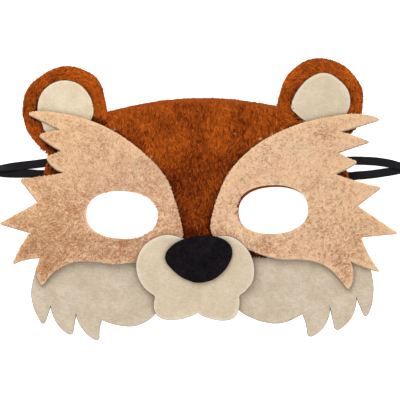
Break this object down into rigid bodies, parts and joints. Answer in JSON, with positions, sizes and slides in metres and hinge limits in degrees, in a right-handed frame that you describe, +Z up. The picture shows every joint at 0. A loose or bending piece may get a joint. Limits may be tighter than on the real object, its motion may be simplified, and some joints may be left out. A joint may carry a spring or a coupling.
{
  "type": "animal costume half mask",
  "caption": "Plush and felt animal half mask with round ears, furred cheeks and jowls, a muzzle, a nose, oval eye holes and an elastic strap, lying flat.",
  "frame": {"origin": "on the floor that the mask lies on, under the middle of its outline without the elastic", "axes": "+Z up out of the mask's front, +Y towards the ears, +X to the right of someone looking at the front"},
  "size_m": [0.2489, 0.1615, 0.0176],
  "materials": {
    "elastic": "matt woven black",
    "jowl_felt": "matt grey-beige felt",
    "brown_plush": "short-pile brown plush",
    "ear_felt": "matt pale beige felt",
    "tan_plush": "short-pile tan plush",
    "muzzle_felt": "matt light beige felt",
    "nose_felt": "matt black felt"
  },
  "bodies": {
    "root": {"elastic_strap": "elastic", "jowl_left": "jowl_felt", "jowl_right": "jowl_felt", "head_panel": "brown_plush", "ear_inner_left": "ear_felt", "ear_inner_right": "ear_felt", "cheek_left": "tan_plush", "cheek_right": "tan_plush", "muzzle": "muzzle_felt", "nose": "nose_felt"}
  },
  "joints": []
}
